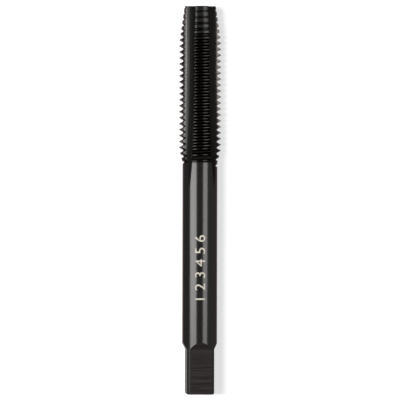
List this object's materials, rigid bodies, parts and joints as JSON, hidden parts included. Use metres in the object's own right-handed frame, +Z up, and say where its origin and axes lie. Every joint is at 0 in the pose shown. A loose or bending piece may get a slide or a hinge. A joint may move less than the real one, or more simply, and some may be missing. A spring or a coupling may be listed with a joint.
{
  "type": "hand tap",
  "caption": "Straight-flute right-hand hand tap with a chamfered lead, plain shank and driving square.",
  "frame": {"origin": "centre of the tap's length, on the surface that it lies on, under its axis", "axes": "+Y along the tap's axis towards the point, +Z up, +X across the tap"},
  "size_m": [0.0066, 0.065, 0.0067],
  "materials": {
    "black_oxide_steel": "ground, black oxide"
  },
  "bodies": {
    "root": {"tap": "black_oxide_steel"}
  },
  "joints": []
}
